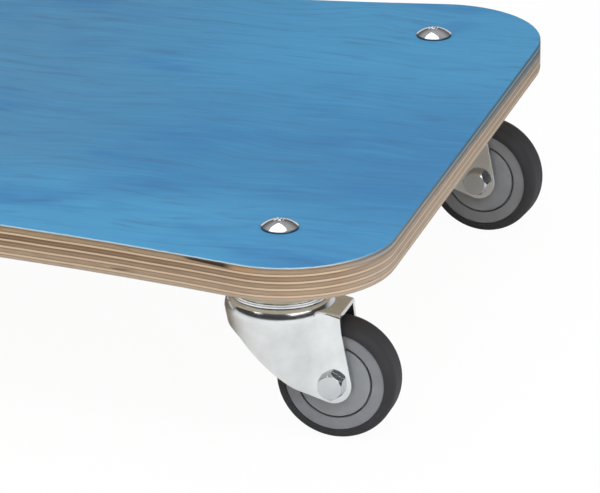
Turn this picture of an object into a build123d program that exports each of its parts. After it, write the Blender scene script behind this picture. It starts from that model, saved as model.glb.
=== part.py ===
"""Wooden dolly: a waisted plywood deck on four swivel casters, each held by one dome-head bolt.

Millimetres, +Z up, +X along the deck. The origin is on the floor under the middle of the deck.
The caster is modelled once in its own frame, with its origin where the swivel axis meets the
underside of the deck and +X along its trail, and is then placed under each corner.
"""

import os
from math import acos, asin, atan2, cos, degrees, hypot, pi, radians, sin, sqrt, tan

from build123d import *

# Deck
deck_length = 560.0
deck_waist = 277.5
deck_side_radius = 1150.0
deck_corner_radius = 45.0
deck_thickness = 15.0
deck_top_round = 0.9
deck_lower_round = 2.2
bolt_to_end = 47.2
bolt_to_side = 43.1

# Direction of each caster's trail at rest, in degrees from +X
headings = {"right_front": -0.45, "right_rear": -6.0, "left_front": 1.6, "left_rear": -2.4}

# Turn of each axle bolt's head, in degrees
head_turns = {"right_front": 30.0, "right_rear": 0.0, "left_front": 12.0, "left_rear": 21.0}

# Deck bolt and its nut
bolt_diameter = 8.0
bolt_head_diameter = 15.6
bolt_head_height = 3.5
bolt_head_edge = 0.7
bolt_tip = 1.0
recess_span = 5.0
recess_width = 1.6
recess_depth = 1.9
recess_taper = 18.0
recess_turn = 45.0
deck_nut_flats = 13.0
deck_nut_height = 4.0
deck_nut_collar = 1.2
hole_clearance = 0.25
thread_clearance = 0.05

# Top dish, a pressed cone with a turned-down rim
dish_sheet = 1.6
dish_top_radius = 12.5
dish_rim_inset = 2.0
dish_rim_height = 1.9
rim_groove_width = 0.3
rim_groove_depth = 0.2
dish_depth = 12.0
dish_bend = 0.4

# Swivel bearing
king_sleeve_wall = 2.25
upper_ball_diameter = 4.76
upper_ball_sink = 0.5
lower_ball_diameter = 3.5
lower_ball_sink = 0.4
ball_seat_gap = 0.05
ball_run_gap = 0.3
ball_pitch = 1.1
lower_race_sheet = 1.4
lower_race_room = 0.45
lower_race_rim_gap = 1.0
lower_race_bend = 0.6

# Fork, pressed from one sheet
fork_sheet = 2.0
crown_gap = 0.2
crown_radius = 22.6
crown_rise = 5.75
shoulder_round = 2.6
shoulder_round_inside = 0.3
shoulder_lean = 25.0
crown_hole_gap = 1.9
crown_land = 0.25
hood_floor_swell = 4.5
hood_floor_run = 2.0
hood_run = 0.6
hood_bend = 6.0
hood_floor_bend = 8.0
cut_margin = 2.0
flange_bend = 1.9
peak_ahead = 9.2
peak_bend = 0.6
peak_rise = 1.3
root_tuck = 0.3
bend_steps = 4
tail_overhang = 3.3
tail_waist_drop = 7.35
tail_waist_out = 0.5
tail_waist_round = 50.0
front_lip_drop = 11.0
knee_inset = 9.0
knee_drop = 2.4
knee_round = 14.0
heel_ahead = 13.2
heel_drop = 4.3
heel_round = 18.0
leg_end_radius = 8.0

# Wheel
wheel_diameter = 50.0
wheel_headroom = 3.25
trail = 24.5
tread_width = 15.6
tread_depth = 4.2
tread_round = 4.0
tread_side_gap = 0.9
hub_width = 14.8
hub_rim = 5.1
hub_edge_round = 0.3
guard_ring_gap = 0.85
guard_thickness = 2.0
guard_run_gap = 0.3
guard_boss_radius = 6.6

# Axle
axle_diameter = 6.0
axle_head_flats = 10.0
axle_head_height = 4.0
axle_nut_height = 4.2
axle_nut_collar = 1.6
axle_tip = 1.0
axle_hole_clearance = 0.12
axle_sleeve_wall = 1.9
wheel_running_clearance = 0.05
hex_chamfer_drop = 1.4
hex_face_inset = 0.1
nut_collar_inset = 0.8

# Outline of the deck: where the arcs of its corners and sides are centred, and its half width
corner_centre_x = deck_length / 2 - deck_corner_radius
side_centre_y = deck_waist / 2 + deck_side_radius
side_reach = deck_side_radius + deck_corner_radius
corner_centre_y = side_centre_y - sqrt(side_reach**2 - corner_centre_x**2)
side_angle = degrees(asin(corner_centre_x / side_reach))
deck_half_width = corner_centre_y + deck_corner_radius

# Radii worked out from the sizes above
bolt_radius = bolt_diameter / 2
bolt_bore = bolt_radius + hole_clearance
dish_rim_radius = crown_radius - dish_rim_inset
king_sleeve_radius = bolt_bore + king_sleeve_wall
crown_hole_radius = king_sleeve_radius + crown_hole_gap
upper_ball_radius = upper_ball_diameter / 2
lower_ball_radius = lower_ball_diameter / 2
lower_ball_circle = crown_hole_radius + crown_land + lower_ball_radius
wheel_radius = wheel_diameter / 2
hub_radius = wheel_radius - tread_depth
recess_radius = hub_radius - hub_rim
guard_radius = recess_radius - guard_ring_gap
axle_radius = axle_diameter / 2
axle_bore = axle_radius + axle_hole_clearance
axle_sleeve_radius = axle_bore + axle_sleeve_wall
wheel_bore = axle_sleeve_radius + wheel_running_clearance

# Heights in the caster's own frame, from the underside of the deck
crown_top = -dish_depth - crown_gap
crown_under = crown_top - fork_sheet
crown_base = crown_top - crown_rise
flange_top = crown_base + fork_sheet
front_lip = crown_top - front_lip_drop
upper_ball_height = crown_top - upper_ball_sink + upper_ball_radius
lower_ball_height = crown_under + lower_ball_sink - lower_ball_radius
lower_race_top = lower_ball_height - lower_ball_radius - ball_run_gap
lower_race_base = lower_race_top - lower_race_sheet
bolt_end = lower_race_base - deck_nut_height - deck_nut_collar - bolt_tip
axle_height = crown_base - wheel_headroom - wheel_radius
hood_floor = axle_height - leg_end_radius - cut_margin

# Heights above the floor
deck_underside = wheel_radius - axle_height
deck_top = deck_underside + deck_thickness

# Widths from the middle plane of the wheel
leg_inside = tread_width / 2 + tread_side_gap
leg_outside = leg_inside + fork_sheet
hub_face = hub_width / 2
guard_inside = hub_face - guard_thickness
hub_web = guard_inside - guard_run_gap

# Places of the bolts, the casters and the axle
bolt_x = deck_length / 2 - bolt_to_end
bolt_y = deck_half_width - bolt_to_side
corners = {
    "right_front": (bolt_x, -bolt_y),
    "right_rear": (bolt_x, bolt_y),
    "left_front": (-bolt_x, -bolt_y),
    "left_rear": (-bolt_x, bolt_y),
}
axle_point = Vector(trail, 0, axle_height)
axle_axis = Axis(axle_point, (0, 1, 0))
axle_section = Plane(origin=axle_point, x_dir=(0, 1, 0), z_dir=(1, 0, 0))
axle_front = Plane(origin=axle_point, x_dir=(1, 0, 0), z_dir=(0, -1, 0))
axle_back = Plane(origin=axle_point, x_dir=(-1, 0, 0), z_dir=(0, 1, 0))


def on_circle(centre, radius, angle):
    """Point of a circle at an angle in radians."""
    return (centre[0] + radius * cos(angle), centre[1] + radius * sin(angle))


def tangent_point(outside, centre, radius, side):
    """Point where a line from an outside point touches a circle; side is 1 or -1."""
    away = (outside[0] - centre[0], outside[1] - centre[1])
    spread = acos(radius / hypot(*away))
    return on_circle(centre, radius, atan2(away[1], away[0]) + side * spread)


def sheet_section(outer, inner, outer_bend, inner_bend):
    """Section between the two sides of a bent sheet, each given as points and a bend radius."""
    with BuildSketch(Plane.XZ) as section:
        with BuildLine():
            FilletPolyline(*outer, radius=outer_bend)
            FilletPolyline(*inner, radius=inner_bend)
            Line(outer[0], inner[0])
            Line(outer[-1], inner[-1])
        make_face()
    return section.sketch


def nose_turn(nose_radius, run):
    """Angle from the trail at which a side of the hood leaves its round nose."""
    reach = sqrt(nose_radius**2 - leg_outside**2) + run
    return atan2(leg_outside, reach) + acos(nose_radius / hypot(reach, leg_outside))


def hood_outline(height, nose_radius, run, bend, inset):
    """Plan of the fork at a height: a round nose whose sides bend to run on as two parallel legs."""
    turn = nose_turn(nose_radius, run)
    nose = nose_radius - inset
    leg = leg_outside - inset
    touch = on_circle((0, 0), nose, turn)
    far_touch = (touch[0], -touch[1])
    crease = touch[0] + (touch[1] - leg) * tan(turn)
    with BuildSketch(Plane.XY.offset(height)) as outline:
        with BuildLine():
            ThreePointArc(far_touch, (-nose, 0), touch)
            FilletPolyline(touch, (crease, leg), (tail_end, leg), radius=bend + inset)
            Line((tail_end, leg), (tail_end, -leg))
            FilletPolyline((tail_end, -leg), (crease, -leg), far_touch, radius=bend + inset)
        make_face()
    return outline.sketch


def hexagon(plane, flats, height):
    """Hexagon standing on a plane, with the corners of its far end turned down."""
    with BuildSketch(plane) as outline:
        RegularPolygon(flats / 2, 6, major_radius=False)
    extrude(outline.sketch, amount=height)
    corner = flats / sqrt(3)
    upright = Plane(origin=plane.origin, x_dir=plane.x_dir, z_dir=plane.x_dir.cross(plane.z_dir))
    with BuildSketch(upright) as section:
        with BuildLine():
            Polyline(
                (0, 0),
                (corner, 0),
                (corner, height - hex_chamfer_drop),
                (flats / 2 - hex_face_inset, height),
                (0, height),
                close=True,
            )
        make_face()
    revolve(section.sketch, axis=Axis(plane.origin, plane.z_dir), mode=Mode.INTERSECT)


def lock_nut(plane, flats, height, collar, bore):
    """Hexagon nut with a round collar on its far end."""
    hexagon(plane, flats, height)
    with BuildSketch(plane.offset(height)) as ring:
        Circle(flats / 2 - nut_collar_inset)
    extrude(ring.sketch, amount=collar)
    with BuildSketch(plane) as hole:
        Circle(bore)
    extrude(hole.sketch, amount=height + collar, mode=Mode.SUBTRACT)


# Deck: concave sides, round corners, four bolt holes
with BuildPart() as deck:
    with BuildSketch(Plane.XY.offset(deck_underside)):
        with BuildLine():
            CenterArc((0, side_centre_y), deck_side_radius, 270, side_angle)
            CenterArc((corner_centre_x, corner_centre_y), deck_corner_radius, 0, 90 + side_angle)
            Line((deck_length / 2, 0), (deck_length / 2, corner_centre_y))
            mirror(about=Plane.XZ)
            mirror(about=Plane.YZ)
        make_face()
    extrude(amount=deck_thickness)
    fillet(deck.faces().sort_by(Axis.Z)[-1].edges(), deck_top_round)
    fillet(deck.faces().sort_by(Axis.Z)[0].edges(), deck_lower_round)
    with Locations(*[(x, y, deck_top) for x, y in corners.values()]):
        Hole(bolt_bore)

# Deck bolt: dome head with a cross recess
with BuildPart() as deck_bolt:
    head_radius = bolt_head_diameter / 2
    head_top = deck_thickness + bolt_head_height
    with BuildSketch(Plane.XZ):
        with BuildLine():
            TangentArc(
                (0, head_top),
                (head_radius, deck_thickness + bolt_head_edge),
                tangent=(1, 0),
            )
            Polyline(
                (head_radius, deck_thickness + bolt_head_edge),
                (head_radius, deck_thickness),
                (bolt_radius, deck_thickness),
                (bolt_radius, bolt_end),
                (0, bolt_end),
                (0, head_top),
            )
        make_face()
    revolve(axis=Axis.Z)
    with BuildSketch(Plane(origin=(0, 0, head_top), z_dir=(0, 0, -1))):
        Rectangle(recess_span, recess_width, rotation=recess_turn)
        Rectangle(recess_width, recess_span, rotation=recess_turn)
    extrude(amount=recess_depth, taper=recess_taper, mode=Mode.SUBTRACT)

# Nut that clamps a caster to the deck
with BuildPart() as deck_nut:
    nut_seat = Plane(origin=(0, 0, lower_race_base), x_dir=(1, 0, 0), z_dir=(0, 0, -1))
    lock_nut(nut_seat, deck_nut_flats, deck_nut_height, deck_nut_collar, bolt_radius + thread_clearance)

# Top dish: flat seat under the deck, cone over the upper balls, turned-down rim
cone_run = dish_rim_radius - dish_top_radius
cone_fall = dish_depth - dish_rim_height
cone_length = hypot(cone_run, cone_fall)
cone_shift = dish_sheet * cone_length
dish_inner_rim = dish_rim_radius - dish_sheet


def cone_inside_radius(height):
    """Radius of the cone's inner face at a height."""
    return dish_top_radius - (height * cone_run + cone_shift) / cone_fall


def cone_inside_height(radius):
    """Height of the cone's inner face at a radius."""
    return -((radius - dish_top_radius) * cone_fall + cone_shift) / cone_run


with BuildPart() as top_dish:
    dish_section = sheet_section(
        [
            (bolt_bore, 0),
            (dish_top_radius, 0),
            (dish_rim_radius, -cone_fall),
            (dish_rim_radius, -dish_depth),
        ],
        [
            (bolt_bore, -dish_sheet),
            (cone_inside_radius(-dish_sheet), -dish_sheet),
            (dish_inner_rim, cone_inside_height(dish_inner_rim)),
            (dish_inner_rim, -dish_depth),
        ],
        dish_bend + dish_sheet,
        dish_bend,
    )
    revolve(dish_section, axis=Axis.Z)
    with BuildSketch(Plane.XZ) as rim_groove:
        with Locations((dish_rim_radius, -dish_depth + dish_rim_height / 2)):
            Rectangle(2 * rim_groove_depth, rim_groove_width)
    revolve(rim_groove.sketch, axis=Axis.Z, mode=Mode.SUBTRACT)

# King sleeve: spacer between the top dish and the lower race
with BuildPart() as king_sleeve:
    with BuildSketch(Plane.XY.offset(lower_race_top)):
        Circle(king_sleeve_radius)
        Circle(bolt_bore, mode=Mode.SUBTRACT)
    extrude(amount=-dish_sheet - lower_race_top)

# Lower race: cup under the crown
lower_race_inner = lower_ball_circle + lower_ball_radius + lower_race_room
lower_race_outer = lower_race_inner + lower_race_sheet
lower_race_rim = crown_under - lower_race_rim_gap

with BuildPart() as lower_race:
    cup_section = sheet_section(
        [
            (bolt_bore, lower_race_base),
            (lower_race_outer, lower_race_base),
            (lower_race_outer, lower_race_rim),
        ],
        [
            (bolt_bore, lower_race_top),
            (lower_race_inner, lower_race_top),
            (lower_race_inner, lower_race_rim),
        ],
        lower_race_bend + lower_race_sheet,
        lower_race_bend,
    )
    revolve(cup_section, axis=Axis.Z)

# Balls: the upper row runs inside the dish's cone, the lower row under the crown
cone_gap = (upper_ball_radius + ball_run_gap) * cone_length / cone_fall
upper_ball_circle = cone_inside_radius(upper_ball_height) - cone_gap
upper_ball_count = int(2 * pi * upper_ball_circle / (upper_ball_diameter * ball_pitch))
lower_ball_count = int(2 * pi * lower_ball_circle / (lower_ball_diameter * ball_pitch))

with BuildPart() as upper_balls:
    with Locations((0, 0, upper_ball_height)):
        with PolarLocations(upper_ball_circle, upper_ball_count):
            Sphere(upper_ball_radius)

with BuildPart() as lower_balls:
    with Locations((0, 0, lower_ball_height)):
        with PolarLocations(lower_ball_circle, lower_ball_count):
            Sphere(lower_ball_radius)

# Fork: round crown, tapering hood, two legs and a flat tail between them
tail_reach = trail + tail_overhang
crown_turn = nose_turn(crown_radius, hood_run)
hood_crease = sqrt(crown_radius**2 - leg_outside**2) + hood_run
hood_bend_reach = hood_bend * tan((pi / 2 - crown_turn) / 2)
hood_bend_start = hood_crease - hood_bend_reach * sin(crown_turn)
hood_bend_end = hood_crease + hood_bend_reach
tail_end = trail + leg_end_radius + cut_margin
hood_floor_radius = leg_outside + hood_floor_swell
front_cut = -crown_radius - cut_margin
top_cut = crown_top + cut_margin
knee = (knee_inset - crown_radius, front_lip - knee_drop)
heel = (trail - heel_ahead, axle_height - heel_drop)
axle_spot = (trail, axle_height)
tail_corner = (tail_reach, crown_base)
heel_touch = tangent_point(heel, axle_spot, leg_end_radius, 1)
tail_waist = (tail_reach + tail_waist_out, flange_top - tail_waist_drop)
tail_touch = tangent_point(tail_waist, axle_spot, leg_end_radius, -1)


def hood(inset):
    """Hood from the foot of the crown to below the legs, drawn inset, added or cut away."""
    top = hood_outline(crown_base, crown_radius, hood_run, hood_bend, inset)
    floor = hood_outline(hood_floor, hood_floor_radius, hood_floor_run, hood_floor_bend, inset)
    loft([top.face(), floor.face()], ruled=True, mode=Mode.SUBTRACT if inset else Mode.ADD)


def crown(inset):
    """Crown with a long curve up its side and a tight one at its shoulder, added or cut away."""
    lean = radians(shoulder_lean)
    tight = shoulder_round_inside if inset else shoulder_round
    long = (crown_rise - inset - tight * (1 - sin(lean))) / sin(lean)
    foot = (crown_radius - inset, crown_base)
    side = (foot[0] - long * (1 - cos(lean)), crown_base + long * sin(lean))
    shoulder = (side[0] - tight * cos(lean), crown_top - inset)
    with BuildSketch(Plane.XZ) as section:
        with BuildLine():
            TangentArc(foot, side, tangent=(0, 1))
            TangentArc(shoulder, side, tangent=(1, 0))
            Polyline(foot, (0, crown_base), (0, crown_top - inset), shoulder)
        make_face()
    revolve(section.sketch, axis=Axis.Z, mode=Mode.SUBTRACT if inset else Mode.ADD)


def ball_groove(circle, height, radius):
    """Round groove for a row of balls."""
    with BuildSketch(Plane.XZ) as section:
        with Locations((circle, height)):
            Circle(radius)
    revolve(section.sketch, axis=Axis.Z, mode=Mode.SUBTRACT)


def tail_half_width(reach):
    """Half width of the hood under the tail, which narrows straight and then bends to the legs."""
    if reach < hood_bend_start:
        return (crown_radius - reach * cos(crown_turn)) / sin(crown_turn)
    ahead = max(0, hood_bend_end - reach)
    return leg_outside + hood_bend - sqrt(hood_bend**2 - ahead**2)


def tail_section(reach, bend, rise=0, tuck=0):
    """Section across the tail: a flat top whose two sides are bent down towards the legs."""
    half_width = tail_half_width(reach) - tuck
    top = flange_top + rise
    with BuildSketch(Plane(origin=(reach, 0, 0), x_dir=(0, 1, 0), z_dir=(1, 0, 0))) as section:
        with BuildLine():
            FilletPolyline(
                (-half_width, crown_base),
                (-half_width, top),
                (half_width, top),
                (half_width, crown_base),
                radius=bend,
            )
            Line((half_width, crown_base), (-half_width, crown_base))
        make_face()
    return section.sketch.face()


with BuildPart() as fork:
    hood(0)
    peak_reach = tail_reach - peak_ahead
    bend_step = (hood_bend_end - peak_reach) / bend_steps
    tail_run = []
    for reach in [peak_reach + bend_step * step for step in range(bend_steps + 1)] + [tail_reach]:
        share = (reach - peak_reach) / peak_ahead
        bend = peak_bend + (flange_bend - peak_bend) * share
        tail_run.append(tail_section(reach, bend, peak_rise * (1 - share)))
    tail_root = tail_section(crown_radius * cos(crown_turn), flange_bend, tuck=root_tuck)
    loft([tail_root, tail_run[0]], ruled=True)
    loft(tail_run, ruled=True)
    crown(0)
    with BuildSketch(Plane.XZ):
        with BuildLine():
            FilletPolyline(
                (front_cut, top_cut),
                (front_cut, front_lip),
                knee,
                heel,
                heel_touch,
                radius=[0, knee_round, heel_round],
            )
            ThreePointArc(heel_touch, on_circle(axle_spot, leg_end_radius, -pi / 4), tail_touch)
            FilletPolyline(tail_touch, tail_waist, tail_corner, radius=tail_waist_round)
            Polyline(tail_corner, (tail_reach, top_cut), (front_cut, top_cut))
        make_face()
    extrude(amount=2 * crown_radius, both=True, mode=Mode.INTERSECT)
    hood(fork_sheet)
    crown(fork_sheet)
    with BuildSketch(Plane.XY.offset(crown_top)):
        Circle(crown_hole_radius)
    extrude(amount=-fork_sheet, mode=Mode.SUBTRACT)
    ball_groove(upper_ball_circle, upper_ball_height, upper_ball_radius + ball_seat_gap)
    ball_groove(lower_ball_circle, lower_ball_height, lower_ball_radius + ball_seat_gap)
    with BuildSketch(axle_front):
        Circle(axle_bore)
    extrude(amount=2 * leg_outside, both=True, mode=Mode.SUBTRACT)

# Axle bolt through both legs, with its lock nut
axle_bolts = {}
for corner, turn in head_turns.items():
    with BuildPart() as axle_bolt:
        across = Vector(cos(radians(turn)), 0, sin(radians(turn)))
        head_seat = Plane(origin=axle_point, x_dir=across, z_dir=(0, -1, 0)).offset(leg_outside)
        hexagon(head_seat, axle_head_flats, axle_head_height)
        with BuildSketch(head_seat):
            Circle(axle_radius)
        extrude(amount=-2 * leg_outside - axle_nut_height - axle_nut_collar - axle_tip)
    axle_bolts[corner] = axle_bolt

with BuildPart() as axle_nut:
    lock_nut(
        axle_back.offset(leg_outside),
        axle_head_flats,
        axle_nut_height,
        axle_nut_collar,
        axle_radius + thread_clearance,
    )

# Axle sleeve: the tube that the wheel turns on, clamped between the thread guards
with BuildPart() as axle_sleeve:
    with BuildSketch(axle_front):
        Circle(axle_sleeve_radius)
        Circle(axle_bore, mode=Mode.SUBTRACT)
    extrude(amount=guard_inside, both=True)

# Thread guards: a disc flush with each face of the wheel, with a boss against the leg
with BuildPart() as thread_guards:
    with BuildSketch(axle_section):
        with BuildLine():
            Polyline(
                (guard_inside, axle_bore),
                (leg_inside, axle_bore),
                (leg_inside, guard_boss_radius),
                (hub_face, guard_boss_radius),
                (hub_face, guard_radius),
                (guard_inside, guard_radius),
                close=True,
            )
        make_face()
        mirror(about=Plane.YZ)
    revolve(axis=axle_axis)

# Wheel hub: web and rim, with a recess in each face for a thread guard
with BuildPart() as wheel_hub:
    with BuildSketch(axle_section):
        with BuildLine():
            Polyline(
                (0, wheel_bore),
                (hub_web, wheel_bore),
                (hub_web, recess_radius),
                (hub_face, recess_radius),
                (hub_face, hub_radius),
                (0, hub_radius),
                close=True,
            )
        make_face()
        mirror(about=Plane.YZ)
    revolve(axis=axle_axis)
    hub_edges = wheel_hub.edges().filter_by(GeomType.CIRCLE).group_by(Axis.Y)
    fillet(hub_edges[0] + hub_edges[-1], hub_edge_round)

# Tread round the hub, with round shoulders
with BuildPart() as tread:
    with BuildSketch(axle_section):
        with Locations((0, (hub_radius + wheel_radius) / 2)):
            Rectangle(tread_width, tread_depth)
        fillet(vertices().group_by(Axis.Y)[-1], tread_round)
    revolve(axis=axle_axis)

# Written pieces
os.makedirs("parts", exist_ok=True)


def write_piece(label, piece, places):
    """Write copies of a piece, one at each place, as one named node."""
    with BuildPart() as node:
        with Locations(*places):
            add(piece.part)
    node.part.label = label
    export_step(node.part, f"parts/{label}.step")


deck.part.label = "deck"
export_step(deck.part, "parts/deck.step")

bolt_places = [Location((x, y, deck_underside)) for x, y in corners.values()]
write_piece("deck_bolts", deck_bolt, bolt_places)
write_piece("deck_nuts", deck_nut, bolt_places)

caster_pieces = {
    "top_dish": top_dish,
    "king_sleeve": king_sleeve,
    "lower_race": lower_race,
    "upper_balls": upper_balls,
    "lower_balls": lower_balls,
    "fork": fork,
    "axle_nut": axle_nut,
    "axle_sleeve": axle_sleeve,
    "thread_guards": thread_guards,
    "wheel_hub": wheel_hub,
    "tread": tread,
}
for corner, (x, y) in corners.items():
    place = Location((x, y, deck_underside), (0, 0, headings[corner]))
    write_piece(f"{corner}_axle_bolt", axle_bolts[corner], [place])
    for name, piece in caster_pieces.items():
        write_piece(f"{corner}_{name}", piece, [place])
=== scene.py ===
from math import cos, radians, sin

import bpy
from bpy.props import FloatProperty, FloatVectorProperty, PointerProperty
from bpy.types import NodeSocket, Operator, Panel, PropertyGroup
from mathutils import Matrix, Vector


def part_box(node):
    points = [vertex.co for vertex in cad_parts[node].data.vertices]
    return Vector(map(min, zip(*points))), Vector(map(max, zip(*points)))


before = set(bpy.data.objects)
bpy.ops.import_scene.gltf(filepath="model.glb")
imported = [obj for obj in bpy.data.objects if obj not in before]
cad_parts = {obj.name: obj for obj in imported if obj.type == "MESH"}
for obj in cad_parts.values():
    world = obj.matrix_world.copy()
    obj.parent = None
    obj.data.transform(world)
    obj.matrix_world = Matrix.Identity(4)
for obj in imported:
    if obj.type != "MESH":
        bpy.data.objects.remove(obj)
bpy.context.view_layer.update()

bl_info = {
    "name": "Wooden dolly",
    "version": (1, 0, 0),
    "blender": (4, 5, 0),
    "location": "3D View > Sidebar > Dolly",
    "description": "Finishes, floor, lights and camera for a plywood dolly on four casters",
    "category": "Object",
}

MILLIMETRE = 0.001
CORNERS = ("right_front", "right_rear", "left_front", "left_rear")
deck_low, deck_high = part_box("deck")
deck_thickness = (deck_high.z - deck_low.z) / MILLIMETRE
deck_end = deck_high.x / MILLIMETRE

# In metres: what the camera looks at on the deck's top, what the lights face, how far off, and the floor
LOOK_POINT = (0.24633, -0.13686)
LIT_POINT = (0.2, -0.05, 0.08)
LIGHT_DISTANCE = 1.75
FLOOR_SIZE = 60

# Soft boxes: name, turn from the camera and rise in degrees, width and height in metres, power setting
SOFT_BOXES = (
    ("overhead", -140, 79, 1.25, 1.2, "overhead_power"),
    ("front", 0, 56, 1.4, 0.95, "front_power"),
    ("left_front", -49, 40, 0.6, 1.3, "left_power"),
    ("right_front", 39, 42, 1.5, 1.2, "right_power"),
    ("low_left", -49, 22, 0.4, 0.25, "low_left_power"),
    ("low_right", 42, 20, 1.3, 0.2, "low_right_power"),
)

# Share of plain white in the floor: where the eye sees it, and where metal mirrors it
SEEN_WHITE = 0.96
MIRRORED_WHITE = 0.03

# Room: rise over which it grows paler, and how far round and up its white backdrop reaches
ROOM_RISE = (0.25, 0.85)
BACKDROP_ROUND = (0.2, 0.6)
BACKDROP_RISE = (0.32, 0.2)


def screen(red, green, blue):
    """Linear colour for the 0 to 255 values that a screen shows."""
    shares = [value / 255 for value in (red, green, blue)]
    return tuple(s / 12.92 if s <= 0.04045 else ((s + 0.055) / 1.055) ** 2.4 for s in shares)


def colour_setting(name, description, red, green, blue):
    """Colour property with its default given in screen values."""
    return FloatVectorProperty(
        name=name,
        description=description,
        subtype="COLOR",
        size=3,
        min=0,
        max=1,
        default=screen(red, green, blue),
    )


def share_setting(name, description, share):
    """Property from 0 to 1."""
    return FloatProperty(name=name, description=description, subtype="FACTOR", min=0, max=1, default=share)


def length_setting(name, description, metres, least=0.0):
    """Length property."""
    return FloatProperty(name=name, description=description, unit="LENGTH", min=least, default=metres)


def angle_setting(name, description, degrees):
    """Angle property."""
    return FloatProperty(name=name, description=description, subtype="ANGLE", default=radians(degrees))


def power_setting(name, description, watts):
    """Power property of a light."""
    return FloatProperty(name=name, description=description, unit="POWER", min=0, default=watts)


class DollyWood(PropertyGroup):
    """Colours of the deck."""

    stain: colour_setting("Stain", "Blue of the stained top", 69, 135, 180)
    stain_bright: colour_setting("Bright stain", "Blue along the sides", 78, 152, 196)
    stain_deep: colour_setting("Deep stain", "Blue where the veneer took more stain", 60, 122, 175)
    stain_dull: colour_setting("Dull stain", "Greyer blue in the middle of the deck", 82, 139, 177)
    stain_streak: colour_setting("Stain streak", "Greyer blue of the veneer's dark streaks", 72, 114, 152)
    stain_run: colour_setting("Stain run", "Stain that soaked in to the ends", 74, 110, 128)
    veneer: colour_setting("Bare veneer", "Unstained underside", 226, 210, 186)
    ply_long: colour_setting("Pale ply", "Plies cut along their grain", 218, 194, 164)
    ply_cross: colour_setting("Brown ply", "Plies cut across their grain", 132, 105, 82)
    ply_soft: colour_setting("Soft ply", "Lower plies cut across their grain", 176, 153, 131)
    ply_top: colour_setting("Top ply", "Edge of the top ply", 166, 145, 116)
    ply_lowest: colour_setting("Lowest ply", "Edge of the lowest ply", 194, 176, 158)
    ply_end: colour_setting("End ply", "Greyer tint of the ends", 196, 184, 172)
    glue: colour_setting("Glue line", "Dark line between plies", 104, 80, 60)
    knot: colour_setting("Knot", "Dark knot in the edge of the top ply", 58, 50, 40)
    amber: colour_setting("Amber grain", "Grain beside the knot", 194, 148, 96)
    # Worn corner: partly stain rubbed off and partly a painted highlight along the rounded upper corner; it
    # also tints a pale layer at the ends
    worn_and_highlight: colour_setting("Worn corner", "Upper corner with most of its stain rubbed off", 180, 203, 214)
    ply_pitch: length_setting("Ply pitch", "From one pale ply to the next", 0.00295, 0.001)


class DollyMetal(PropertyGroup):
    """Colours and polish of the metal."""

    zinc: colour_setting("Zinc", "Bright zinc plate of the pressings", 232, 236, 238)
    axle_zinc: colour_setting("Axle zinc", "Duller zinc plate of the axle bolts", 206, 211, 215)
    chrome: colour_setting("Chrome", "Plate of the deck bolts", 236, 237, 240)
    # Painted shade: a dark colour that stands in for the contact shadow and dark reflection round the foot of
    # a bolt head
    painted_foot_shade: colour_setting("Painted_foot_shade", "Dirt round the foot of a bolt head", 40, 46, 62)
    steel: colour_setting("Steel", "Bearing balls and sleeves", 196, 197, 200)
    zinc_roughness: share_setting("Zinc roughness", "Roughness of the zinc plate", 0.14)
    broken_edge: length_setting("Broken edge", "Radius on the edges of the sheet", 0.00035)
    chrome_roughness: share_setting("Chrome roughness", "Roughness of the chrome", 0.11)


class DollyWheel(PropertyGroup):
    """Colours and polish of the wheels."""

    hub: colour_setting("Hub", "Grey plastic of the hub", 135, 137, 142)
    guard: colour_setting("Thread guard", "Grey plastic of the discs in the hub", 146, 149, 153)
    tread: colour_setting("Tread", "Dark rubber of the tread", 52, 52, 55)
    hub_roughness: share_setting("Hub roughness", "Roughness of the hub", 0.42)
    guard_roughness: share_setting("Guard roughness", "Roughness of the thread guards", 0.45)
    tread_roughness: share_setting("Tread roughness", "Roughness of the tread", 0.65)


class DollyStage(PropertyGroup):
    """Floor, light and camera."""

    floor: colour_setting("Floor", "Pale floor", 244, 244, 244)
    room_low: share_setting("Room low down", "Light of the room at floor level", 0.05)
    room_high: share_setting("Room overhead", "Light of the room overhead", 0.4)
    backdrop: share_setting("Backdrop", "White of the backdrop in reflections", 0.8)
    overhead_power: power_setting("Overhead", "Overhead light", 9)
    front_power: power_setting("Front", "Light over the camera", 10.8)
    left_power: power_setting("Left", "Left front light", 2)
    right_power: power_setting("Right", "Right front light", 11)
    low_left_power: power_setting("Low left", "Low left strip", 0.4)
    low_right_power: power_setting("Low right", "Low right strip", 1.3)
    focal_length: FloatProperty(
        name="Focal length",
        description="Focal length of the camera",
        subtype="DISTANCE_CAMERA",
        min=1,
        default=332.07,
    )
    azimuth: angle_setting("Azimuth", "Turn of the camera round the part", 16.42)
    elevation: angle_setting("Elevation", "Height of the camera over the deck", 21.67)
    roll: angle_setting("Roll", "Tilt of the camera", -0.43)
    distance: length_setting("Distance", "Camera to the point it looks at", 2.19145)


# Node helpers


def put(tree, kind, inputs=None, **settings):
    """New node with its settings, and its inputs linked or set."""
    node = tree.nodes.new(kind)
    for name, value in settings.items():
        setattr(node, name, value)
    for name, value in (inputs or {}).items():
        if isinstance(value, NodeSocket):
            tree.links.new(value, node.inputs[name])
        else:
            node.inputs[name].default_value = value
    return node


def opaque(colour):
    """A colour with full alpha, or a node's colour as it is."""
    return colour if isinstance(colour, NodeSocket) else (*colour, 1)


def shaded(colour, share):
    """Colour made darker or lighter by a share."""
    return tuple(part * share for part in colour)


def mixed(tree, factor, first, second):
    """Colour mixed from two others."""
    inputs = {0: factor, 6: opaque(first), 7: opaque(second)}
    return put(tree, "ShaderNodeMix", inputs, data_type="RGBA", clamp_factor=True).outputs[2]


def sums(tree, operation, first, second=0.0, third=0.0):
    """Result of a sum on values."""
    return put(tree, "ShaderNodeMath", {0: first, 1: second, 2: third}, operation=operation).outputs[0]


def product(tree, first, second):
    """Two masks in one, or part of a mask."""
    return sums(tree, "MULTIPLY", first, second)


def larger(tree, first, second):
    """Larger of two masks."""
    return sums(tree, "MAXIMUM", first, second)


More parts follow.
